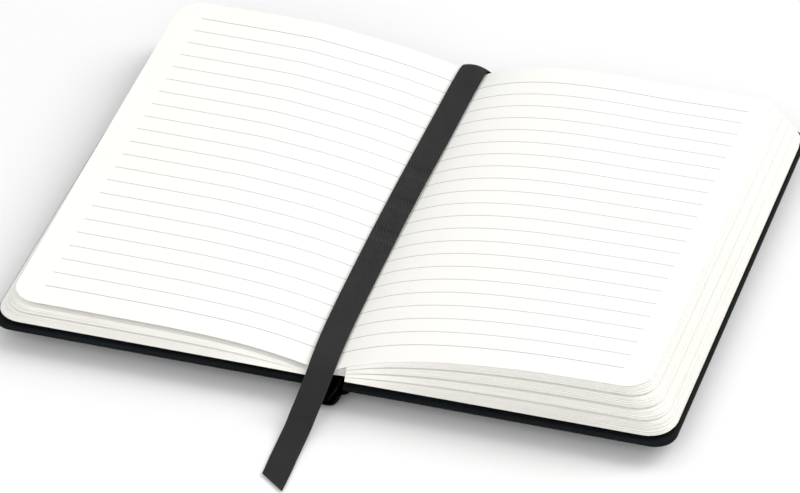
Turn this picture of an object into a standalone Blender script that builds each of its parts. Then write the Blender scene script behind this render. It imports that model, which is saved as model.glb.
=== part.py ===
"""Pocket notebook, lying open: two hard covers, a folding spine, two stacks of leaves and a ribbon."""
import math

import bmesh
import bpy

MM = 0.001

# Driving dimensions (metres). X runs across the open book, +Y to the head, +Z up.
COVER_REACH = 90.5 * MM  # spine centre to fore-edge of a cover
COVER_HEIGHT = 146.0 * MM
COVER_CORNER = 6.0 * MM
SKIN = 0.4 * MM  # leatherette thickness
LAYER_GAP = 0.2 * MM  # clearance between glued layers
BOARD = 1.2 * MM  # greyboard thickness
LIP = 3.0 * MM  # turned-in leatherette left showing round the pastedown
PASTEDOWN = 0.3 * MM
FLYLEAF = 0.2 * MM
HINGE_HALF = 3.7 * MM  # spine centre to each cover hinge, book open
HINGE_CLEARANCE = 1.0 * MM  # hinge axis to the edge of the cover
SPINE_DROP = 5.3 * MM  # how far the open spine hangs under the covers
SPINE_SKIN = 0.5 * MM
SPINE_LINER = 0.4 * MM
SPINE_END_TRIM = 0.35 * MM
LINER_FOLD_TRIM = 1.25 * MM
FORE_SQUARE = 0.9 * MM  # from the fore-edge of the lowest leaf to the edge of the cover
HEAD_SQUARE = 2.5 * MM  # from a leaf's head or tail to the edge of the cover
PAGE_CORNER = 7.0 * MM
RIGHT_LEAN = 6.6 * MM  # how far the top right leaf's edge is drawn back
LEFT_LEAN = 4.1 * MM
LEAF = 0.15 * MM
SECTION_GAP = 0.25 * MM
BLOCK_CLEARANCE = 0.2 * MM  # the firm sections start this far outside the cover's inner edge
FOLD_START = 0.5 * MM
LEAF_BEND_INSET = 0.1 * MM  # the loose top leaf bends this far inside the cover's inner edge
GUTTER_HEIGHT = 1.6 * MM  # leaf surface above the cover, at the gutter
RIGHT_RISE = 11.4 * MM
RIGHT_CURVE = 20.0 * MM
LEFT_RISE = 5.5 * MM
LEFT_CURVE = 18.0 * MM
LEFT_CURVE_POWER = 1.3
LEFT_LEAF_LIFT = 0.8 * MM  # the loose top leaf stands off the left stack
MULL = 0.4 * MM
MULL_CLEARANCE = 0.3 * MM  # from the mull's edge to the hinge axis
MULL_SHORT = 3.0 * MM  # how far the mull stops short of the leaves' head and tail
THREAD_RADIUS = 0.2 * MM
THREAD_SHORT = 6.0 * MM  # how far the sewing stops short of the head and tail
THREAD_SIDES = 8
RIBBON_WIDTH = 7.0 * MM
RIBBON = 0.4 * MM
RIBBON_TILT = math.radians(12.0)
CORNER_STEPS = 6
SPAN_STEPS = 14
FOLD_HEIGHT_ROUNDS = 8  # enough for the fold's height to settle
RIGHT_SHARES = [0.0, 0.27, 0.5, 0.76, 1.0]  # where one section ends and the next begins
LEFT_SHARES = [0.0, 0.5, 1.0]
RIGHT_FIRM = 2  # sections that keep their shape when the book is shut
LEFT_FIRM = 1

# Leaf sizes that follow from the cover's.
PAGE_REACH = COVER_REACH - FORE_SQUARE
PAGE_HEIGHT = COVER_HEIGHT - 2 * HEAD_SQUARE

# Where the covers, the leaves and the mull start or end near the spine.
COVER_START = HINGE_HALF + HINGE_CLEARANCE
BLOCK_START = COVER_START + BLOCK_CLEARANCE
LEAF_START = COVER_START - LEAF_BEND_INSET
MULL_HALF = HINGE_HALF - MULL_CLEARANCE

# Heights that follow from the stack of layers in a cover.
COVER_THICKNESS = 2 * SKIN + 2 * LAYER_GAP + BOARD
BOARD_LOW = SPINE_DROP + SKIN + LAYER_GAP
BOARD_HIGH = BOARD_LOW + BOARD
COVER_TOP = SPINE_DROP + COVER_THICKNESS
STACK_LOW = COVER_TOP + LAYER_GAP + FLYLEAF + LAYER_GAP
STACK_HEADROOM = 0.5 * MM  # between the sections' top and the loose leaf's surface

# Hinge axes of the spine, seen along Y. The fold's height puts the spine's lowest edge at zero.
SPINE_WALL_HALF = (SPINE_SKIN + LAYER_GAP + SPINE_LINER) / 2
HINGE_HEIGHT = SPINE_DROP + COVER_THICKNESS / 2
FOLD_HEIGHT = 0.0
for _ in range(FOLD_HEIGHT_ROUNDS):
    LEG_ANGLE = math.atan2(HINGE_HEIGHT - FOLD_HEIGHT, HINGE_HALF)
    FOLD_HEIGHT = SPINE_WALL_HALF * math.cos(LEG_ANGLE) - SPINE_END_TRIM * math.sin(LEG_ANGLE)
SPINE_LEG = math.hypot(HINGE_HALF, HINGE_HEIGHT - FOLD_HEIGHT)

# The ribbon's own route: centre points from the spine's head to its free end.
RIBBON_ROUTE = [
    (-0.9, 70.6, 6.9), (-1.2, 71.6, 8.6), (-2.0, 71.5, 10.2), (-2.6, 69.3, 10.9),
    (-2.9, 60.0, 10.6), (-3.0, 45.0, 10.5), (-3.1, 30.0, 10.5), (-3.2, 15.0, 10.5),
    (-3.2, 0.0, 10.5), (-3.1, -15.0, 10.5), (-2.9, -30.0, 10.5), (-2.6, -45.0, 10.6),
    (-2.1, -58.0, 10.8), (-1.5, -67.0, 10.9), (-1.2, -72.5, 10.4), (-1.3, -76.3, 9.2),
    (-1.7, -79.2, 7.3), (-2.4, -82.4, 4.6), (-2.9, -86.2, 2.3), (-3.2, -91.3, 1.0),
    (-3.2, -97.0, 0.6), (-3.0, -102.5, 0.5), (-2.9, -107.0, 0.5),
]
RIBBON_LEVEL_AT = -1.0 * MM  # over the gutter the ribbon lies level
RIBBON_SLOPED_AT = -3.0 * MM  # from here on it lies on the sloping left page
RIBBON_OFF_PAGE = -74.0 * MM  # beyond the tail it hangs level again


def clear_scene():
    for item in list(bpy.data.objects):
        bpy.data.objects.remove(item, do_unlink=True)


def collection(name):
    made = bpy.data.collections.new(name)
    bpy.context.scene.collection.children.link(made)
    return made


def material(name, colour, roughness):
    made = bpy.data.materials.new(name)
    made.use_nodes = True
    shader = made.node_tree.nodes["Principled BSDF"]
    shader.inputs["Base Color"].default_value = (*colour, 1.0)
    shader.inputs["Roughness"].default_value = roughness
    return made


def add_object(name, bm, look=None, home=None, pivot=(0.0, 0.0, 0.0)):
    """Turn a bmesh, drawn in the book's frame, into an object whose origin is at its pivot."""
    bm.normal_update()
    bmesh.ops.recalc_face_normals(bm, faces=bm.faces)
    bmesh.ops.translate(bm, verts=bm.verts, vec=[-value for value in pivot])
    mesh = bpy.data.meshes.new(name)
    bm.to_mesh(mesh)
    bm.free()
    made = bpy.data.objects.new(name, mesh)
    made.location = pivot
    if look:
        mesh.materials.append(look)
    (home or PARTS).objects.link(made)
    return made


def columns(start, end, corner):
    """Distances from the spine, closer together at the gutter and round the outer corners."""
    flat = end - corner
    span = [start + (flat - start) * (step / SPAN_STEPS) ** 2 for step in range(SPAN_STEPS)]
    bend = [flat + corner * math.sin(math.pi / 2 * step / CORNER_STEPS) for step in range(CORNER_STEPS + 1)]
    return span + bend


def slab(name, side, start, end, height, corner, low, high, look=None, home=None, pivot=(0, 0, 0)):
    """A sheet or stack with two rounded outer corners; low and high give its faces at each distance."""
    reach = columns(start, end, corner)
    bm = bmesh.new()
    bmesh.ops.create_grid(bm, x_segments=len(reach) - 1, y_segments=1, size=1.0)
    bm.verts.ensure_lookup_table()
    base = list(bm.verts)
    where = {}
    for vert in base:
        step = round((vert.co.x + 1.0) / 2.0 * (len(reach) - 1))
        distance = reach[step]
        past = max(0.0, distance - (end - corner))
        half = height / 2 - corner + math.sqrt(max(0.0, corner ** 2 - past ** 2))
        where[vert] = distance
        vert.co = (side * distance, math.copysign(half, vert.co.y), low(distance))
    copied = bmesh.ops.extrude_face_region(bm, geom=list(bm.faces))["geom"]
    for vert in [item for item in copied if isinstance(item, bmesh.types.BMVert)]:
        vert.co.z = high(abs(vert.co.x))
    return add_object(name, bm, look, home, pivot)


def level(height):
    return lambda distance: height


def right_surface(distance):
    return COVER_TOP + GUTTER_HEIGHT + RIGHT_RISE * (1 - math.exp(-distance / RIGHT_CURVE))


def left_surface(distance):
    bend = (distance / LEFT_CURVE) ** LEFT_CURVE_POWER
    return COVER_TOP + GUTTER_HEIGHT + LEFT_RISE * (1 - math.exp(-bend))


def share(surface, part, offset=0.0):
    """The height a given share of the way up through the stack under a leaf surface."""
    return lambda distance: STACK_LOW + part * (surface(distance) - STACK_HEADROOM - STACK_LOW) + offset


def cut(target, cutter):
    cutter.display_type = "WIRE"
    cutter.hide_render = True
    change = target.modifiers.new("cut_" + cutter.name, "BOOLEAN")
    change.operation = "DIFFERENCE"
    change.solver = "EXACT"
    change.object = cutter


def cover(name, side):
    """Leatherette tray, greyboard and pastedown of one cover, with its first loose flyleaf."""
    inside = SKIN + LAYER_GAP
    tray = slab(name + "_cover_skin", side, COVER_START, COVER_REACH, COVER_HEIGHT, COVER_CORNER,
                level(SPINE_DROP), level(COVER_TOP), LEATHERETTE)
    cavity = slab(name + "_board_cavity", side, COVER_START - LIP, COVER_REACH - SKIN,
                  COVER_HEIGHT - 2 * SKIN, COVER_CORNER - SKIN,
                  level(SPINE_DROP + SKIN), level(COVER_TOP - SKIN), home=CUTTERS)
    window = slab(name + "_pastedown_window", side, COVER_START - LIP, COVER_REACH - LIP,
                  COVER_HEIGHT - 2 * LIP, COVER_CORNER,
                  level(COVER_TOP - SKIN - LAYER_GAP), level(COVER_TOP + LIP), home=CUTTERS)
    cut(tray, cavity)
    cut(tray, window)
    slab(name + "_board", side, COVER_START, COVER_REACH - inside, COVER_HEIGHT - 2 * inside,
         COVER_CORNER - inside, level(BOARD_LOW), level(BOARD_HIGH), GREYBOARD)
    slab(name + "_pastedown", side, COVER_START, COVER_REACH - LIP - LAYER_GAP,
         COVER_HEIGHT - 2 * LIP - 2 * LAYER_GAP, COVER_CORNER,
         level(BOARD_HIGH + LAYER_GAP), level(BOARD_HIGH + LAYER_GAP + PASTEDOWN), ENDPAPER)
    slab(name + "_flyleaf", side, COVER_START, PAGE_REACH, PAGE_HEIGHT, PAGE_CORNER,
         level(COVER_TOP + LAYER_GAP), level(COVER_TOP + LAYER_GAP + FLYLEAF), ENDPAPER)


def sections(name, side, surface, lean, shares, firm):
    """Sewn sections of leaves, one above another; the firm ones stop short of the gutter."""
    for number, (low, high) in enumerate(zip(shares, shares[1:]), start=1):
        gap = SECTION_GAP if high < 1 else 0.0
        start = BLOCK_START if number <= firm else BLOCK_START - SECTION_GAP
        slab(f"{name}_section_{number}", side, start, PAGE_REACH - lean * (low + high) / 2,
             PAGE_HEIGHT, PAGE_CORNER, share(surface, low), share(surface, high, -gap), PAPER)


def folds(name, side, surface):
    """The sewn folds of the sections, close to the gutter."""
    slab(name + "_sewn_folds", side, FOLD_START, BLOCK_START - 2 * SECTION_GAP,
         PAGE_HEIGHT - 2 * SECTION_GAP, FOLD_START, level(COVER_TOP + LAYER_GAP),
         share(surface, 1.0, -SECTION_GAP / 2), PAPER)


def loose_leaf(name, side, surface, lean, lift):
    """The top leaf, its origin on the bend that it turns about."""
    pivot = (side * LEAF_START, 0.0, surface(LEAF_START))

    def top(distance):
        return surface(distance) + lift * min(1.0, distance / PAGE_REACH * 2) ** 2

    slab(name, side, LEAF_START, PAGE_REACH - lean, PAGE_HEIGHT, PAGE_CORNER,
         lambda distance: top(distance) - LEAF, top, PAPER, pivot=pivot)


def spine_half(name, side, kind, inner, outer, fold_trim, look):
    """One leg of the spine: a strip from the fold up to a cover hinge, inner to outer from its line."""
    pivot = (side * HINGE_HALF, 0.0, HINGE_HEIGHT) if side > 0 else (0.0, 0.0, FOLD_HEIGHT)
    bm = bmesh.new()
    bmesh.ops.create_cube(bm, size=1.0)
    for vert in bm.verts:
        along = fold_trim if vert.co.x < 0 else SPINE_LEG - SPINE_END_TRIM
        off = inner if vert.co.z > 0 else outer
        x = along * math.cos(LEG_ANGLE) + off * math.sin(LEG_ANGLE)
        z = FOLD_HEIGHT + along * math.sin(LEG_ANGLE) - off * math.cos(LEG_ANGLE)
        vert.co = (side * x, vert.co.y * COVER_HEIGHT, z)
    return add_object(f"spine_{kind}_{name}", bm, look, pivot=pivot)


def mull():
    bm = bmesh.new()
    bmesh.ops.create_cube(bm, size=1.0)
    middle = COVER_TOP - MULL / 2
    for vert in bm.verts:
        along = vert.co.y * (PAGE_HEIGHT - 2 * MULL_SHORT)
        vert.co = (vert.co.x * 2 * MULL_HALF, along, middle + vert.co.z * MULL)
    add_object("spine_mull", bm, CLOTH)


def thread():
    bm = bmesh.new()
    length = PAGE_HEIGHT - 2 * THREAD_SHORT
    bmesh.ops.create_cone(bm, cap_ends=True, segments=THREAD_SIDES, radius1=THREAD_RADIUS,
                          radius2=THREAD_RADIUS, depth=length)
    height = COVER_TOP + LAYER_GAP + THREAD_RADIUS
    for vert in bm.verts:
        vert.co = (vert.co.x, vert.co.z, height + vert.co.y)
    add_object("sewing_thread", bm, CLOTH)


def ribbon():
    """A flat bookmark ribbon swept along its route, tilted where it lies on the page."""
    last = len(RIBBON_ROUTE) - 1
    rows = []
    for step, point in enumerate(RIBBON_ROUTE):
        x, y, z = (value * MM for value in point)
        before = RIBBON_ROUTE[max(0, step - 1)]
        after = RIBBON_ROUTE[min(last, step + 1)]
        run = math.hypot(after[1] - before[1], after[2] - before[2])
        up = (after[2] - before[2]) / run * RIBBON, -(after[1] - before[1]) / run * RIBBON
        slope = (x - RIBBON_LEVEL_AT) / (RIBBON_SLOPED_AT - RIBBON_LEVEL_AT)
        tilt = RIBBON_TILT * min(1.0, max(0.0, slope)) if y > RIBBON_OFF_PAGE else 0.0
        side = RIBBON_WIDTH / 2 * math.cos(tilt), RIBBON_WIDTH / 2 * math.sin(tilt)
        ends = [(x + sign * side[0], y, z - sign * side[1]) for sign in (-1, 1)]
        rows.append(ends + [(px, py + up[0], pz + up[1]) for px, py, pz in ends])
    bm = bmesh.new()
    bmesh.ops.create_grid(bm, x_segments=last, y_segments=1, size=1.0)
    base = [(vert, round((vert.co.x + 1.0) / 2.0 * last), int(vert.co.y > 0)) for vert in bm.verts]
    for vert, step, edge in base:
        vert.co = rows[step][edge]
    place = {tuple(vert.co): (step, edge) for vert, step, edge in base}
    copied = bmesh.ops.extrude_face_region(bm, geom=list(bm.faces))["geom"]
    for vert in [item for item in copied if isinstance(item, bmesh.types.BMVert)]:
        step, edge = place[tuple(vert.co)]
        vert.co = rows[step][edge + 2]
    add_object("ribbon_bookmark", bm, RIBBON_CLOTH)


clear_scene()
PARTS = collection("pocket_notebook")
CUTTERS = collection("cutters")
LEATHERETTE = material("leatherette", (0.012, 0.013, 0.016), 0.5)
GREYBOARD = material("greyboard", (0.32, 0.30, 0.27), 0.9)
ENDPAPER = material("endpaper", (0.80, 0.76, 0.66), 0.8)
PAPER = material("paper", (0.86, 0.83, 0.74), 0.8)
CLOTH = material("binding_cloth", (0.75, 0.73, 0.68), 0.9)
RIBBON_CLOTH = material("ribbon_cloth", (0.02, 0.02, 0.022), 0.6)

cover("back", 1)
cover("front", -1)
sections("right", 1, right_surface, RIGHT_LEAN, RIGHT_SHARES, RIGHT_FIRM)
sections("left", -1, left_surface, LEFT_LEAN, LEFT_SHARES, LEFT_FIRM)
folds("right", 1, right_surface)
folds("left", -1, left_surface)
loose_leaf("right_leaf", 1, right_surface, RIGHT_LEAN, 0.0)
loose_leaf("left_leaf", -1, left_surface, LEFT_LEAN, LEFT_LEAF_LIFT)
for half_name, half_side in (("back_half", 1), ("front_half", -1)):
    skin_inner = SPINE_WALL_HALF - SPINE_SKIN
    spine_half(half_name, half_side, "skin", skin_inner, SPINE_WALL_HALF, SPINE_END_TRIM, LEATHERETTE)
    spine_half(half_name, half_side, "liner", -SPINE_WALL_HALF, -SPINE_WALL_HALF + SPINE_LINER,
               LINER_FOLD_TRIM, GREYBOARD)
mull()
thread()
ribbon()
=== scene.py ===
"""Looks of the pocket notebook: leaves, covers, spine, ribbon, materials, light and camera."""
import math

import bmesh
import bpy
from mathutils import Matrix, Vector


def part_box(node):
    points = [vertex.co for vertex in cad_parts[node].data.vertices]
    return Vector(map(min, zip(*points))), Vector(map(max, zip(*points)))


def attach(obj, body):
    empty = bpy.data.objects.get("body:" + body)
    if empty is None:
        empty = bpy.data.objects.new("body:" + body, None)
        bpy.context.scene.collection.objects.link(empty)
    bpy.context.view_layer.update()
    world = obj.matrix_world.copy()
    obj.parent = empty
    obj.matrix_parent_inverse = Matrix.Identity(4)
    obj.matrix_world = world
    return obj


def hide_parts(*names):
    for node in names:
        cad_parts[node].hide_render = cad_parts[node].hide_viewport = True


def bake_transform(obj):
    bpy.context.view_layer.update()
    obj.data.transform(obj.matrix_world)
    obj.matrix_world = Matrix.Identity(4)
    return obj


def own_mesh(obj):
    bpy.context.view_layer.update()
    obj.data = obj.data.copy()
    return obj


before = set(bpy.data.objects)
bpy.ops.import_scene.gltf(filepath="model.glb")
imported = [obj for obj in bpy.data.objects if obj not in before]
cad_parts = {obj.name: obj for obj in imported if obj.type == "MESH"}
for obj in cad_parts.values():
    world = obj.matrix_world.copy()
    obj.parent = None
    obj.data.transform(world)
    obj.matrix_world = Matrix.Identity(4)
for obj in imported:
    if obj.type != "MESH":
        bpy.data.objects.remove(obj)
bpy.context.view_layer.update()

MM = 0.001

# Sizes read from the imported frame
BACK_LOW, BACK_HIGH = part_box("back_cover_skin")
COVER_START, COVER_REACH = BACK_LOW[0], BACK_HIGH[0]
COVER_HALF = BACK_HIGH[1]
COVER_UNDER, COVER_TOP = BACK_LOW[2], BACK_HIGH[2]
PAGE_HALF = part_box("right_leaf")[1][1]
LEAF_REACH = {"right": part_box("right_leaf")[1][0], "left": -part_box("left_leaf")[0][0]}
LEAF_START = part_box("right_leaf")[0][0]
FOLD_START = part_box("right_sewn_folds")[0][0]
PAGE_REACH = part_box("back_flyleaf")[1][0]

# The stacks' own curves, as the solids have them
COVER_CORNER = 6.0 * MM
PAGE_CORNER = 7.0 * MM
GUTTER_HEIGHT = 1.6 * MM
RIGHT_RISE = 11.4 * MM
RIGHT_CURVE = 20.0 * MM
LEFT_RISE = 5.5 * MM
LEFT_CURVE = 18.0 * MM
LEFT_CURVE_POWER = 1.3
LEAF_LIFT = {"right": 0.0, "left": 1.2 * MM}  # the loose leaf stands off its stack
LEVEL = {"right": 0.90, "left": 1.02}  # a stack's height midway from tail to head, as a share of its curve
HEAD_SLOPE = {"right": -0.20, "left": 0.06}  # how that share changes from the middle to the head
HEAD_LIFT = {"right": 0.0, "left": 1.1 * MM}  # the loose leaf lifts further at the head
STACK_LOW = COVER_TOP + 0.6 * MM
SHARES = {"right": [0.0, 0.27, 0.5, 0.76, 1.0], "left": [0.0, 0.5, 1.0]}  # where the sections part
LEAF_COUNTS = {"right": [11, 9, 10, 9], "left": [11, 11]}
LEAF = 0.12 * MM
SECTION_PARTING = 0.22  # share of a section's height that is open under its lowest leaf
ROOT_END = LEAF_START + 0.02 * MM
EDGE_SLOT = 1  # a leaf's cut edges take its second material
COLUMN_POWER = 1.6  # columns of a leaf crowd towards the gutter
LEAF_INSET = 0.3 * MM  # the stacked leaves start this far past the loose leaf
ROOT_CORNER = 0.3 * MM
HEIGHT_INSET = 0.2 * MM
LEAN_POWER = 1.15
LEAF_TURNS = (2.399, 5.1)  # steps that keep neighbouring leaves out of line
END_WOBBLE = 0.16 * MM
HALF_WOBBLE = 0.07 * MM
LIFT_WOBBLE = 0.10 * MM
LIFT_TURN = 3.7
RIPPLE = (2.2, 9)  # how the ripple runs along a leaf, and from leaf to leaf
SWELL_REACH = 0.6  # share of the reach over which the swell builds up
PAGE_WAVE = 0.12 * MM
PAGE_WAVE_TURN = (2.6, 0.6)
PAGE_WAVE_REACH = 40 * MM
PAGE_ROWS = 16
ROOT_LEAVES = 6
ROOT_FIRST = 0.1  # the top fold starts at this share of the sewn folds' distance
ROOT_UNDER = 0.01 * MM  # and lies this far under the page's face
ROOT_GAP = 0.3 * MM  # the folds below it keep this far from the page's face
ROOT_LAP = 0.2 * MM
ROOT_INSET = 0.3 * MM
STACK_GAP = {"right": 0.35 * MM, "left": 1.9 * MM}  # under the loose leaf
SPLAY = 1.8 * MM  # the lowest leaves stand out this much further at head and tail
RIM_STEPS = 8
RIM_ROLL = 0.9 * MM
WRAP_LIP = 3.0 * MM
WRAP_LIP_DEPTH = 0.15 * MM
WRAP_SHEET = 0.12 * MM
TIGHTEST_CORNER = 1.5 * MM
WRAP_THIN = 0.3 * MM  # the wrap lies this much inside the cover's own thickness

# Ruled lines
RULE_PITCH = 6.0 * MM
RULE_COUNT = 22
RULE_WIDTH = 0.30 * MM
RULE_MARGIN = 7.5 * MM

# The open spine: its skin, and the right half of its U from the cover's edge to the bottom
SPINE_SKIN = 0.5 * MM
SPINE_U = [(6.4, 5.5), (5.5, 5.42), (4.8, 5.1), (4.3, 4.45), (3.95, 3.5), (3.55, 2.4),
           (2.9, 1.35), (2.0, 0.62), (1.0, 0.32), (0.0, 0.25)]
SPINE_STEPS = 36
SPINE_SPLIT = 2.9 * MM  # below this height the spine is one piece, curved round the fold
SPINE_TURN_IN = [(0.0, 9.0), (0.0, 2.3), (0.0, 0.9), (0.15, 0.45), (0.5, 0.12)]  # back from the end, inward
SPINE_TURN_IN_LENGTH = 1.1 * MM
SPINE_END_OPEN = 0.45  # share of the end's outline that the turn-in leaves open
SPINE_CAP = 0.25 * MM  # the turned-in end stands this far past the liner
SPINE_MIDDLE = 3.4 * MM  # height the spine's turned-in ends draw in to

WEFTS_PER_METRE = 2600.0

# Binding
MULL_WARPS = 9
MULL_WEFTS = 110
MULL_THREAD = 0.09 * MM
STITCHES = 12
STITCH_STEPS = 120
STITCH_SWELL = 0.15  # share of the thread's radius that swells and thins along a stitch
THREAD_SIDES = 8

RIBBON_WIDTH = 7.0 * MM
RIBBON = 0.35 * MM
RIBBON_TILT = math.radians(12.0)
RIBBON_ROUTE = [
    (-0.9, 70.6, 6.9), (-1.2, 71.6, 8.6), (-2.0, 71.5, 10.2), (-2.6, 69.3, 10.9),
    (-2.9, 60.0, 10.6), (-3.0, 45.0, 10.5), (-3.1, 30.0, 10.5), (-3.2, 15.0, 10.5),
    (-3.2, 0.0, 10.5), (-3.1, -15.0, 10.5), (-2.9, -30.0, 10.5), (-2.6, -45.0, 10.6),
    (-2.1, -58.0, 10.8), (-1.5, -67.0, 10.9), (-1.2, -72.5, 10.4), (-1.3, -76.3, 9.2),
    (-1.7, -79.2, 7.3), (-2.4, -82.4, 4.6), (-2.9, -86.2, 2.3), (-3.2, -91.3, 1.0),
    (-3.2, -97.0, 0.6), (-3.0, -102.5, 0.5), (-2.9, -107.0, 0.5),
]
RIBBON_LEVEL_AT = -1.0 * MM
RIBBON_SLOPED_AT = -3.0 * MM
RIBBON_OFF_PAGE = -74.0 * MM
RIBBON_STEPS = 132
RIBBON_ACROSS = 8
RIBBON_CUT_STEPS = 8
RIBBON_BELLY = 0.25 * MM
RIBBON_CROWN = 0.8 * MM
RIBBON_CROWN_OVER = 10 * MM
RIBBON_LEVELS_OVER = 4 * MM
RIBBON_CROWN_AT = 60.0 * MM  # past this the ribbon arches over the head
RIBBON_CUT = 5.6 * MM  # the end is cut on the slant, longest at its right edge
RIBBON_SHORT = 2.3 * MM

# Camera
CAMERA_AZIMUTH = math.radians(16.9)
CAMERA_ELEVATION = math.radians(35.35)
CAMERA_DISTANCE = 1.5275
CAMERA_SIDE = -0.0003
CAMERA_UP = -0.0043
CAMERA_AIM = Vector((-0.0020, 0.0, 0.0050))
CAMERA_LENS = 262.0

# Light
WORLD_STRENGTH = 0.66
KEY_PLACE, KEY_SIZE, KEY_POWER = (0.75, 0.35, 0.9), 0.8, 6.5
FILL_PLACE, FILL_SIZE, FILL_POWER = (0.1, -1.2, 0.75), 1.0, 7.5
FLOOR_HALF = 3.0


# ---------------------------------------------------------------- materials

class Nodes:
    """A material's node tree, with short calls for the nodes used here."""

    def __init__(self, name, colour, roughness):
        self.material = bpy.data.materials.new(name)
        self.material.use_nodes = True
        self.tree = self.material.node_tree
        self.shader = self.tree.nodes["Principled BSDF"]
        self.shader.inputs["Base Color"].default_value = (*colour, 1.0)
        self.shader.inputs["Roughness"].default_value = roughness

    def add(self, kind, **values):
        node = self.tree.nodes.new(kind)
        for key, value in values.items():
            setattr(node, key, value)
        return node

    def join(self, source, target):
        self.tree.links.new(source, target)

    def math(self, operation, first, second=None, third=None):
        node = self.add("ShaderNodeMath", operation=operation)
        for place, value in enumerate((first, second, third)):
            if value is None:
                continue
            if isinstance(value, (int, float)):
                node.inputs[place].default_value = value
            else:
                self.join(value, node.inputs[place])
        return node.outputs[0]

    def object_point(self):
        return self.add("ShaderNodeTexCoord").outputs["Object"]

    def noise(self, scale, detail=4.0, roughness=0.55, stretch=(1.0, 1.0, 1.0)):
        mapping = self.add("ShaderNodeMapping")
        mapping.inputs["Scale"].default_value = stretch
        self.join(self.object_point(), mapping.inputs["Vector"])
        node = self.add("ShaderNodeTexNoise")
        node.inputs["Scale"].default_value = scale
        node.inputs["Detail"].default_value = detail
        node.inputs["Roughness"].default_value = roughness
        self.join(mapping.outputs[0], node.inputs["Vector"])
        return node.outputs["Fac"]

    def mix(self, factor, first, second):
        node = self.add("ShaderNodeMix", data_type="RGBA")
        if isinstance(factor, (int, float)):
            node.inputs[0].default_value = factor
        else:
            self.join(factor, node.inputs[0])
        for place, value in ((6, first), (7, second)):
            if isinstance(value, tuple):
                node.inputs[place].default_value = (*value, 1.0)
            else:
                self.join(value, node.inputs[place])
        return node.outputs[2]

    def spread(self, value, low, high, to_low, to_high):
        node = self.add("ShaderNodeMapRange")
        self.join(value, node.inputs["Value"])
        for name, number in (("From Min", low), ("From Max", high), ("To Min", to_low), ("To Max", to_high)):
            node.inputs[name].default_value = number
        return node.outputs[0]

    def colour(self, value):
        self.join(value, self.shader.inputs["Base Color"])

    def rough(self, value):
        self.join(value, self.shader.inputs["Roughness"])

    def bump(self, height, strength, distance):
        node = self.add("ShaderNodeBump")
        node.inputs["Strength"].default_value = strength
        node.inputs["Distance"].default_value = distance
        self.join(height, node.inputs["Height"])
        self.join(node.outputs[0], self.shader.inputs["Normal"])


def paper_colour(look, light, dark):
    cloud = look.spread(look.noise(35.0, 3.0), 0.35, 0.65, 0.0, 1.0)
    fibre = look.spread(look.noise(1400.0, 2.0, 0.6, (1.0, 0.35, 1.0)), 0.3, 0.7, 0.0, 1.0)
    both = look.math("MULTIPLY_ADD", fibre, 0.45, look.math("MULTIPLY", cloud, 0.55))
    look.bump(fibre, 0.10, 0.00006)
    look.rough(look.spread(cloud, 0.0, 1.0, 0.78, 0.9))
    return look.mix(both, light, dark)


def paper(name, light, dark):
    look = Nodes(name, light, 0.85)
    look.colour(paper_colour(look, light, dark))
    look.shader.inputs["Specular IOR Level"].default_value = 0.2
    return look.material


def ruled_paper(name, light, dark, ink, reach):
    """Cream paper with ruled lines; the UV map holds distance from the gutter and height, in metres."""
    look = Nodes(name, light, 0.85)
    look.shader.inputs["Specular IOR Level"].default_value = 0.2
    plain = paper_colour(look, light, dark)
    where = look.add("ShaderNodeSeparateXYZ")
    uv = look.add("ShaderNodeUVMap", uv_map="page")
    look.join(uv.outputs[0], where.inputs[0])
    across, along = where.outputs[0], where.outputs[1]
    half_height = RULE_PITCH * (RULE_COUNT - 1) / 2
    step = look.math("DIVIDE", look.math("ADD", along, half_height + RULE_PITCH * 10), RULE_PITCH)
    off = look.math("PINGPONG", step, 0.5)
    line = look.math("LESS_THAN", off, RULE_WIDTH / RULE_PITCH / 2)
    height = look.math("ABSOLUTE", along)
    inside = look.math("LESS_THAN", height, half_height + RULE_WIDTH)
    short = look.math("LESS_THAN", across, reach - RULE_MARGIN)
    on = look.math("MULTIPLY", look.math("MULTIPLY", line, inside), short)
    end = look.math("GREATER_THAN", height, half_height - RULE_PITCH / 2)
    broken = look.spread(look.noise(900.0, 2.0), 0.3, 0.7, 0.88, 1.0)
    weight = look.math("MULTIPLY", look.math("MULTIPLY_ADD", end, 0.15, 0.82), broken)
    look.colour(look.mix(look.math("MULTIPLY", on, weight), plain, ink))
    return look.material


def leaf_edges(name, light, dark):
    """Cut paper edges, streaked along each leaf."""
    look = Nodes(name, light, 0.9)
    look.shader.inputs["Specular IOR Level"].default_value = 0.15
    streak = look.noise(220.0, 3.0, 0.6, (0.25, 0.25, 24.0))
    wide = look.noise(60.0, 2.0, 0.5, (0.4, 0.4, 9.0))
    both = look.math("MULTIPLY_ADD", streak, 0.6, look.math("MULTIPLY", wide, 0.4))
    look.colour(look.mix(look.spread(both, 0.36, 0.62, 0.0, 1.0), light, dark))
    look.bump(streak, 0.35, 0.00015)
    return look.material


def leatherette(name):
    """Fine pebbled black book cloth with a slightly worn sheen."""
    look = Nodes(name, (0.004, 0.006, 0.008), 0.5)
    cells = look.add("ShaderNodeTexVoronoi", feature="F1")
    cells.inputs["Scale"].default_value = 1500.0
    look.join(look.object_point(), cells.inputs["Vector"])
    pebble = look.spread(cells.outputs["Distance"], 0.0, 0.7, 1.0, 0.0)
    crease = look.noise(260.0, 5.0, 0.6)
    height = look.math("MULTIPLY_ADD", crease, 0.35, look.math("MULTIPLY", pebble, 0.65))
    wear = look.spread(look.noise(40.0, 4.0), 0.4, 0.7, 0.0, 1.0)
    look.colour(look.mix(wear, (0.0015, 0.0026, 0.0038), (0.0035, 0.0055, 0.0075)))
    look.shader.inputs["Specular IOR Level"].default_value = 0.12
    look.rough(look.spread(height, 0.2, 0.8, 0.68, 0.5))
    look.bump(height, 0.5, 0.00012)
    return look.material


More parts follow.
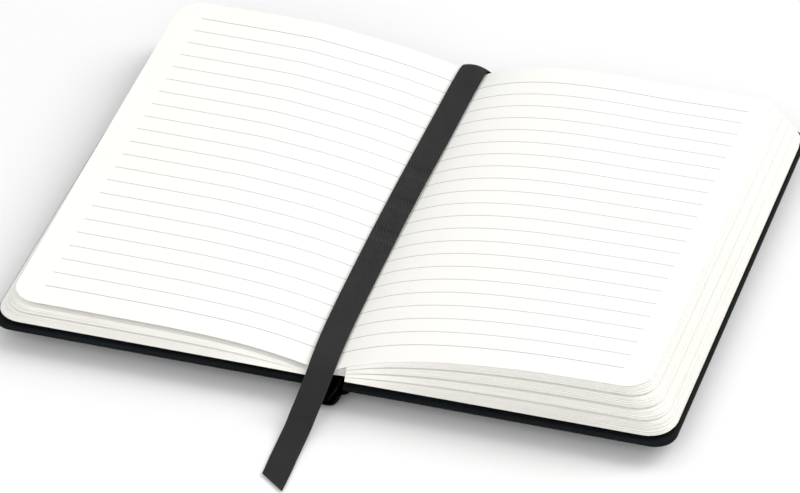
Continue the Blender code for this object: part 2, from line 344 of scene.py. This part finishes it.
def greyboard(name):
    look = Nodes(name, (0.32, 0.30, 0.27), 0.95)
    fleck = look.spread(look.noise(900.0, 4.0, 0.7), 0.35, 0.65, 0.0, 1.0)
    look.colour(look.mix(fleck, (0.24, 0.225, 0.20), (0.42, 0.40, 0.36)))
    look.bump(fleck, 0.4, 0.0001)
    return look.material


def woven(name, dark, light, threads, roughness, sheen):
    """Cloth whose warp and weft come from its UV map: across in threads, along in metres."""
    look = Nodes(name, dark, roughness)
    where = look.add("ShaderNodeSeparateXYZ")
    look.join(look.add("ShaderNodeUVMap", uv_map="weave").outputs[0], where.inputs[0])
    across = look.math("MULTIPLY", where.outputs[0], math.pi * threads)
    along = look.math("MULTIPLY", where.outputs[1], math.pi * WEFTS_PER_METRE)
    warp = look.math("ABSOLUTE", look.math("SINE", across))
    weft = look.math("ABSOLUTE", look.math("SINE", along))
    weave = look.math("MULTIPLY_ADD", warp, 0.6, look.math("MULTIPLY", weft, 0.4))
    shade = look.noise(120.0, 3.0)
    factor = look.math("MULTIPLY_ADD", shade, 0.4, look.math("MULTIPLY", weave, 0.6))
    look.colour(look.mix(look.spread(factor, 0.25, 0.85, 0.0, 1.0), dark, light))
    look.bump(weave, 0.5, 0.00012)
    look.shader.inputs["Sheen Weight"].default_value = sheen
    return look.material


def cloth(name, light, dark):
    look = Nodes(name, light, 0.95)
    weave = look.add("ShaderNodeTexChecker")
    weave.inputs["Scale"].default_value = 1600.0
    look.join(look.object_point(), weave.inputs["Vector"])
    look.colour(look.mix(weave.outputs["Fac"], light, dark))
    look.bump(weave.outputs["Fac"], 0.4, 0.0001)
    return look.material


# ---------------------------------------------------------------- shapes

def new_piece(name, bm, materials):
    bm.normal_update()
    bmesh.ops.recalc_face_normals(bm, faces=bm.faces)
    mesh = bpy.data.meshes.new(name)
    bm.to_mesh(mesh)
    bm.free()
    for look in materials:
        mesh.materials.append(look)
    mesh.shade_smooth()
    mesh.set_sharp_from_angle(angle=math.radians(40))
    made = bpy.data.objects.new(name, mesh)
    bpy.context.scene.collection.objects.link(made)
    return made


def right_surface(distance):
    return COVER_TOP + GUTTER_HEIGHT + RIGHT_RISE * (1 - math.exp(-distance / RIGHT_CURVE))


def left_surface(distance):
    bend = (distance / LEFT_CURVE) ** LEFT_CURVE_POWER
    return COVER_TOP + GUTTER_HEIGHT + LEFT_RISE * (1 - math.exp(-bend))


def columns(start, end, corner, span=16, bend=7):
    flat = end - corner
    inner = [start + (flat - start) * (step / span) ** COLUMN_POWER for step in range(span)]
    outer = [flat + corner * math.sin(math.pi / 2 * step / bend) for step in range(bend + 1)]
    return inner + outer


def half_at(distance, end, corner, half):
    past = max(0.0, distance - (end - corner))
    return half - corner + math.sqrt(max(0.0, corner ** 2 - past ** 2))


def add_leaf(bm, side, start, end, half, corner, height, thickness, rows=2):
    """One leaf: a sheet with rounded outer corners, its upper face given by height(distance, y)."""
    reach = columns(start, end, corner)
    uv = bm.loops.layers.uv.get("page") or bm.loops.layers.uv.new("page")
    made = bmesh.ops.create_grid(bm, x_segments=len(reach) - 1, y_segments=rows, size=1.0)["verts"]
    faces = list({face for vert in made for face in vert.link_faces})
    for vert in made:
        distance = reach[round((vert.co.x + 1.0) / 2.0 * (len(reach) - 1))]
        y = vert.co.y * half_at(distance, end, corner, half)
        vert.co = (side * distance, y, height(distance, y))
    copied = bmesh.ops.extrude_face_region(bm, geom=faces)["geom"]
    for item in copied:
        if isinstance(item, bmesh.types.BMVert):
            item.co.z -= thickness
    near = {face for vert in made for face in vert.link_faces}
    for face in near | {item for item in copied if isinstance(item, bmesh.types.BMFace)}:
        for loop in face.loops:
            loop[uv].uv = (abs(loop.vert.co.x), loop.vert.co.y)
    for face in [face for face in near if any(vert not in made for vert in face.verts)]:
        face.material_index = EDGE_SLOT


def swell(name, distance, y):
    """The stack's height as a share of its profile: the leaves are fluffed up unevenly along the spine."""
    share = LEVEL[name] + HEAD_SLOPE[name] * y / PAGE_HALF
    return 1 + (share - 1) * min(1.0, distance / (SWELL_REACH * PAGE_REACH))


def stack(name, side, surface, shares, counts, looks, body):
    """The leaves of one side, section by section, each section one piece."""
    lean = PAGE_REACH - LEAF_REACH[name]
    done = 0
    for number, (low, high, count) in enumerate(zip(shares, shares[1:], counts), start=1):
        bm = bmesh.new()
        for index in range(count):
            parting = SECTION_PARTING if low > 0 else 0.0
            part = low + (high - low) * (parting + (1 - parting) * (index + 1) / count)
            wobble = sum(math.sin((done + index) * turn) for turn in LEAF_TURNS) / 2
            end = PAGE_REACH - lean * part ** LEAN_POWER + wobble * END_WOBBLE
            half = PAGE_HALF - HEIGHT_INSET + SPLAY * (1 - part) + wobble * HALF_WOBBLE
            lift = LIFT_WOBBLE * math.sin((done + index) * LIFT_TURN)

            def height(distance, y, part=part, lift=lift):
                top = surface(distance) - STACK_GAP[name] - STACK_LOW
                turn = y / PAGE_HALF * RIPPLE[0] + part * RIPPLE[1]
                ripple = lift * min(1.0, distance / PAGE_REACH) ** 2 * math.sin(turn)
                return STACK_LOW + part * top * swell(name, distance, y) + ripple

            add_leaf(bm, side, LEAF_START + LEAF_INSET, end, half, PAGE_CORNER, height, LEAF)
        done += count
        piece = new_piece(f"{name}_leaves_{number}", bm, looks)
        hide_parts(f"{name}_section_{number}")
        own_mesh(piece)
        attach(piece, body)


def top_leaf(name, side, surface, looks, body):
    def height(distance, y):
        base = surface(distance) - COVER_TOP
        lift = LEAF_LIFT[name] + HEAD_LIFT[name] * y / PAGE_HALF
        raised = lift * min(1.0, distance / PAGE_REACH * 2) ** 2
        turn = y / PAGE_HALF * PAGE_WAVE_TURN[0] + PAGE_WAVE_TURN[1]
        wave = PAGE_WAVE * math.sin(turn) * min(1.0, distance / PAGE_WAVE_REACH)
        return COVER_TOP + base * swell(name, distance, y) + raised + wave

    bm = bmesh.new()
    add_leaf(bm, side, LEAF_START, LEAF_REACH[name], PAGE_HALF, PAGE_CORNER, height, LEAF, PAGE_ROWS)
    leaf = new_piece(f"{name}_leaf_page", bm, looks)
    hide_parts(f"{name}_leaf")
    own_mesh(leaf)
    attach(leaf, body)

    bm = bmesh.new()
    add_leaf(bm, side, FOLD_START * ROOT_FIRST, ROOT_END, PAGE_HALF, ROOT_CORNER,
             lambda distance, y: height(distance, y) - ROOT_UNDER, LEAF, PAGE_ROWS)
    for index in range(ROOT_LEAVES):
        part = (index + 1) / (ROOT_LEAVES + 1)

        def root_height(distance, y, part=part):
            return STACK_LOW + part * (height(distance, y) - ROOT_GAP - STACK_LOW)

        add_leaf(bm, side, FOLD_START, LEAF_START + ROOT_LAP, PAGE_HALF - ROOT_INSET, ROOT_CORNER,
                 root_height, LEAF)
    root = new_piece(f"{name}_fold_leaves", bm, looks)
    in_gutter(root, f"{name}_sewn_folds")


def cover_wrap(name, side, look, body):
    """Leatherette wrapped round the board: a rounded rim with a smooth outer edge and a turned-in lip."""
    start, end, half = COVER_START, COVER_REACH, COVER_HALF
    under, top = COVER_UNDER + WRAP_THIN, COVER_TOP - WRAP_THIN
    middle = (under + top) / 2
    thick = (top - under) / 2
    section = []
    for step in range(RIM_STEPS + 1):
        turn = -math.pi / 2 + math.pi * step / RIM_STEPS
        section.append((RIM_ROLL * (1 - math.cos(turn)), middle + thick * math.sin(turn)))
    bm = bmesh.new()
    arcs = [("arc", sign, step) for sign in (-1, 1) for step in range(RIM_STEPS + 1)]
    outline = [(start, -1), *arcs, (start, 1)]
    rows = []
    for inset, z in section + [(WRAP_LIP, top), (WRAP_LIP, top - WRAP_LIP_DEPTH)]:
        row = []
        for spot in outline:
            if spot[0] == "arc":
                corner = max(COVER_CORNER - inset, TIGHTEST_CORNER)
                turn = math.pi / 2 * spot[2] / RIM_STEPS
                if spot[1] > 0:
                    turn = math.pi / 2 - turn
                x = end - inset - corner + corner * math.sin(turn)
                y = spot[1] * (half - inset - corner + corner * math.cos(turn))
            else:
                x, y = start, spot[1] * (half - inset)
            row.append(bm.verts.new((side * x, y, z)))
        rows.append(row)
    for first, second in zip(rows, rows[1:]):
        for index in range(len(outline) - 1):
            bm.faces.new((first[index], first[index + 1], second[index + 1], second[index]))
    bm.faces.new(rows[0])
    piece = new_piece(f"{name}_cover_wrap", bm, [look])
    thicken = piece.modifiers.new("thickness", "SOLIDIFY")
    thicken.thickness = WRAP_SHEET
    thicken.offset = -1.0
    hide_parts(f"{name}_cover_skin")
    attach(piece, body)


def smooth_curve(points, count):
    """Points read evenly from a smooth curve through the given ones."""
    made = []
    last = len(points) - 1
    for step in range(count + 1):
        place = step / count * last
        index = min(int(place), last - 1)
        t = place - index
        p = [Vector(points[min(max(index + k, 0), last)]) for k in (-1, 0, 1, 2)]
        made.append(0.5 * (2 * p[1] + (p[2] - p[0]) * t + (2 * p[0] - 5 * p[1] + 4 * p[2] - p[3]) * t ** 2
                           + (3 * p[1] - p[0] - 3 * p[2] + p[3]) * t ** 3))
    return made


def strip(name, points, half, thickness, look, rows=10):
    """A band following points in the X-Z plane, as wide as the covers are tall, its ends turned in."""
    bm = bmesh.new()
    grid = []
    spots = [(half + SPINE_CAP - back * MM, inward * MM) for back, inward in SPINE_TURN_IN]
    middle = [(half - SPINE_TURN_IN_LENGTH) * (1 - 2 * row / rows) for row in range(rows + 1)]
    tail = [(-y, inward) for y, inward in reversed(spots)]
    for y, inward in spots + [(y, 0.0) for y in middle] + tail:
        line = []
        for x, z in points:
            away = Vector((x, z - SPINE_MIDDLE))
            kept = max(SPINE_END_OPEN, 1 - inward / away.length)
            line.append(bm.verts.new((x * kept, y, SPINE_MIDDLE + (z - SPINE_MIDDLE) * kept)))
        grid.append(line)
    for first, second in zip(grid, grid[1:]):
        for index in range(len(points) - 1):
            bm.faces.new((first[index], first[index + 1], second[index + 1], second[index]))
    bmesh.ops.solidify(bm, geom=list(bm.faces), thickness=thickness)
    return new_piece(name, bm, [look])


def spine(look):
    """The spine's leatherette in three bands: one from the back cover's edge, one round the fold, one to the
    front cover's edge.
    """
    curve = smooth_curve([(x * MM, 0.0, z * MM) for x, z in SPINE_U], SPINE_STEPS)
    right = [(point.x, point.z) for point in curve]
    split = next(index for index, (x, z) in enumerate(right) if z < SPINE_SPLIT)
    left = [(-x, z) for x, z in reversed(right)]
    outer = strip("spine_wrap_back", right[:split + 1], COVER_HALF, SPINE_SKIN, look)
    middle = strip("spine_wrap_fold", right[split:] + left[1:len(left) - split], COVER_HALF, SPINE_SKIN,
                   look)
    front = strip("spine_wrap_front", left[len(left) - split - 1:], COVER_HALF, SPINE_SKIN,
                  look)
    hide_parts("spine_skin_back_half")
    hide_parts("spine_skin_front_half")
    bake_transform(outer)
    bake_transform(middle)
    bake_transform(front)


def ribbon(look):
    route = [Vector([value * MM for value in point]) for point in RIBBON_ROUTE]
    count = RIBBON_STEPS
    path = smooth_curve(route, count)
    bm = bmesh.new()
    weave = bm.loops.layers.uv.new("weave")
    across = RIBBON_ACROSS
    rows = []
    run = 0.0
    along = []
    for step, point in enumerate(path):
        run += (point - path[step - 1]).length if step else 0.0
        along.append(run)
        ahead = path[min(step + 1, count)] - path[max(step - 1, 0)]
        up = Vector((0.0, -ahead.z, ahead.y)).normalized()
        up = -up if ahead.y < 0 else up
        slope = min(1.0, max(0.0, (point.x - RIBBON_LEVEL_AT) / (RIBBON_SLOPED_AT - RIBBON_LEVEL_AT)))
        on_page = min(1.0, max(0.0, (point.y - RIBBON_OFF_PAGE) / RIBBON_LEVELS_OVER))
        lean = RIBBON_TILT * slope * on_page
        side = Vector((math.cos(lean), 0.0, -math.sin(lean)))
        row = []
        for index in range(across + 1):
            place = index / across * 2 - 1
            crown = min(1.0, max(0.0, (point.y - RIBBON_CROWN_AT) / RIBBON_CROWN_OVER))
            sag = RIBBON_BELLY * place ** 2 * (1 - crown)
            belly = (sag + RIBBON_CROWN * (1 - place ** 2) * crown) * on_page
            near_end = max(0.0, 1 - (count - step) / RIBBON_CUT_STEPS)
            cut = (RIBBON_CUT * (place + 1) / 2 - RIBBON_SHORT) * near_end
            spot = point + side * place * RIBBON_WIDTH / 2 + up * (belly + RIBBON / 2)
            spot.y -= cut
            row.append(bm.verts.new(spot))
        rows.append(row)
    for step, (first, second) in enumerate(zip(rows, rows[1:])):
        for index in range(across):
            face = bm.faces.new((first[index], first[index + 1], second[index + 1], second[index]))
            corners = ((index, step), (index + 1, step), (index + 1, step + 1), (index, step + 1))
            for loop, (u, v) in zip(face.loops, corners):
                loop[weave].uv = (u / across, along[v])
    bmesh.ops.solidify(bm, geom=list(bm.faces), thickness=RIBBON)
    piece = new_piece("ribbon", bm, [look])
    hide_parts("ribbon_bookmark")
    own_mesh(piece)
    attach(piece, "back_cover")


def in_gutter(piece, node):
    """A root piece of the gutter, carried with the back cover."""
    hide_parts(node)
    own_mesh(piece)
    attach(piece, "back_cover")


def mull(look):
    """Open-weave lining glued behind the folds: crossing threads over the solid's own extent."""
    low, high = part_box("spine_mull")
    middle = (low[2] + high[2]) / 2
    bm = bmesh.new()
    half_width = MULL_THREAD
    for count, axis in ((MULL_WARPS, 0), (MULL_WEFTS, 1)):
        other = 1 - axis
        for index in range(count):
            spot = low[axis] + half_width + (high[axis] - low[axis] - 2 * half_width) * index / (count - 1)
            made = bmesh.ops.create_cube(bm, size=2.0)["verts"]
            for vert in made:
                place = [0.0, 0.0, middle + vert.co.z * MULL_THREAD + axis * MULL_THREAD]
                place[axis] = spot + vert.co[axis] * half_width
                centre, reach = (low[other] + high[other]) / 2, (high[other] - low[other]) / 2
                place[other] = centre + vert.co[other] * reach
                vert.co = place
    in_gutter(new_piece("mull", bm, [look]), "spine_mull")


def thread(look):
    """Sewing thread along the folds, swelling and thinning once a stitch."""
    low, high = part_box("sewing_thread")
    radius = (high[0] - low[0]) / 2
    middle = (low[2] + high[2]) / 2
    bm = bmesh.new()
    rings = []
    for step in range(STITCH_STEPS + 1):
        y = low[1] + (high[1] - low[1]) * step / STITCH_STEPS
        wave = math.sin(step * 2 * math.pi * STITCHES / STITCH_STEPS)
        girth = radius * (1 - STITCH_SWELL + STITCH_SWELL * wave)
        ring = []
        for side in range(THREAD_SIDES):
            turn = 2 * math.pi * side / THREAD_SIDES
            ring.append(bm.verts.new((girth * math.cos(turn), y, middle + girth * math.sin(turn))))
        rings.append(ring)
    for first, second in zip(rings, rings[1:]):
        for side in range(THREAD_SIDES):
            after = (side + 1) % THREAD_SIDES
            bm.faces.new((first[side], first[after], second[after], second[side]))
    bm.faces.new(rings[0])
    bm.faces.new(rings[-1])
    in_gutter(new_piece("thread", bm, [look]), "sewing_thread")


def finish_node(node, look):
    found = bpy.data.objects[node]
    found.data.materials.clear()
    found.data.materials.append(look)


# ---------------------------------------------------------------- stage

def camera():
    azimuth, elevation = CAMERA_AZIMUTH, CAMERA_ELEVATION
    back = Vector((math.sin(azimuth) * math.cos(elevation), -math.cos(azimuth) * math.cos(elevation),
                   math.sin(elevation)))
    right = Vector((0, 0, 1)).cross(back).normalized()
    up = back.cross(right)
    data = bpy.data.cameras.new("camera")
    data.lens = CAMERA_LENS
    data.sensor_width = 36.0
    data.clip_start = 0.05
    data.clip_end = 20.0
    made = bpy.data.objects.new("camera", data)
    bpy.context.scene.collection.objects.link(made)
    turn = Matrix((right, up, back)).transposed().to_4x4()
    place = CAMERA_AIM + right * CAMERA_SIDE + up * CAMERA_UP + back * CAMERA_DISTANCE
    made.matrix_world = Matrix.Translation(place) @ turn
    bpy.context.scene.camera = made


def area_light(name, place, target, size, power):
    data = bpy.data.lights.new(name, "AREA")
    data.shape = "SQUARE"
    data.size = size
    data.energy = power
    made = bpy.data.objects.new(name, data)
    bpy.context.scene.collection.objects.link(made)
    made.location = place
    made.rotation_mode = "QUATERNION"
    made.rotation_quaternion = (Vector(target) - Vector(place)).to_track_quat("-Z", "Y")


def studio():
    world = bpy.data.worlds.new("studio")
    bpy.context.scene.world = world
    world.use_nodes = True
    background = world.node_tree.nodes["Background"]
    background.inputs[0].default_value = (1.0, 1.0, 1.0, 1.0)
    background.inputs[1].default_value = WORLD_STRENGTH
    area_light("key", KEY_PLACE, (0, 0, 0), KEY_SIZE, KEY_POWER)
    area_light("fill", FILL_PLACE, (0, 0, 0), FILL_SIZE, FILL_POWER)
    bpy.context.scene.view_settings.view_transform = "Standard"
    floor_mesh = bpy.data.meshes.new("floor")
    bm = bmesh.new()
    bmesh.ops.create_grid(bm, x_segments=1, y_segments=1, size=FLOOR_HALF)
    bm.to_mesh(floor_mesh)
    bm.free()
    look = Nodes("floor", (0.93, 0.93, 0.93), 0.9)
    floor_mesh.materials.append(look.material)
    floor = bpy.data.objects.new("floor", floor_mesh)
    bpy.context.scene.collection.objects.link(floor)


# ---------------------------------------------------------------- the notebook

camera()
LEATHER = leatherette("black_leatherette")
BOARD = greyboard("raw_greyboard")
END_PAPER = paper("cream_endpaper", (0.93, 0.90, 0.82), (0.89, 0.86, 0.77))
PAGE_LIGHT, PAGE_DARK, INK = (0.95, 0.945, 0.91), (0.93, 0.92, 0.88), (0.42, 0.41, 0.40)
RULED = {name: ruled_paper(f"ruled_paper_{name}", PAGE_LIGHT, PAGE_DARK, INK, reach)
         for name, reach in LEAF_REACH.items()}
EDGES = leaf_edges("paper_edges", (0.98, 0.965, 0.93), (0.91, 0.885, 0.83))
RIBBON_LOOK = woven("ribbon_satin", (0.010, 0.010, 0.0105), (0.034, 0.034, 0.035), 22, 0.6, 0.12)
MULL_LOOK = cloth("mull", (0.78, 0.76, 0.70), (0.60, 0.58, 0.53))

ribbon(RIBBON_LOOK)
stack("right", 1, right_surface, SHARES["right"], LEAF_COUNTS["right"], [RULED["right"], EDGES],
      "back_cover")
stack("left", -1, left_surface, SHARES["left"], LEAF_COUNTS["left"], [RULED["left"], EDGES],
      "front_cover")
top_leaf("right", 1, right_surface, [RULED["right"], EDGES], "right_leaf")
top_leaf("left", -1, left_surface, [RULED["left"], EDGES], "left_leaf")
cover_wrap("back", 1, LEATHER, "back_cover")
cover_wrap("front", -1, LEATHER, "front_cover")
spine(LEATHER)
for half in ("back", "front"):
    finish_node(f"{half}_board", BOARD)
    finish_node(f"{half}_pastedown", END_PAPER)
    finish_node(f"{half}_flyleaf", END_PAPER)
    finish_node(f"spine_liner_{half}_half", LEATHER)
mull(MULL_LOOK)
thread(MULL_LOOK)
studio()

bpy.context.view_layer.update()
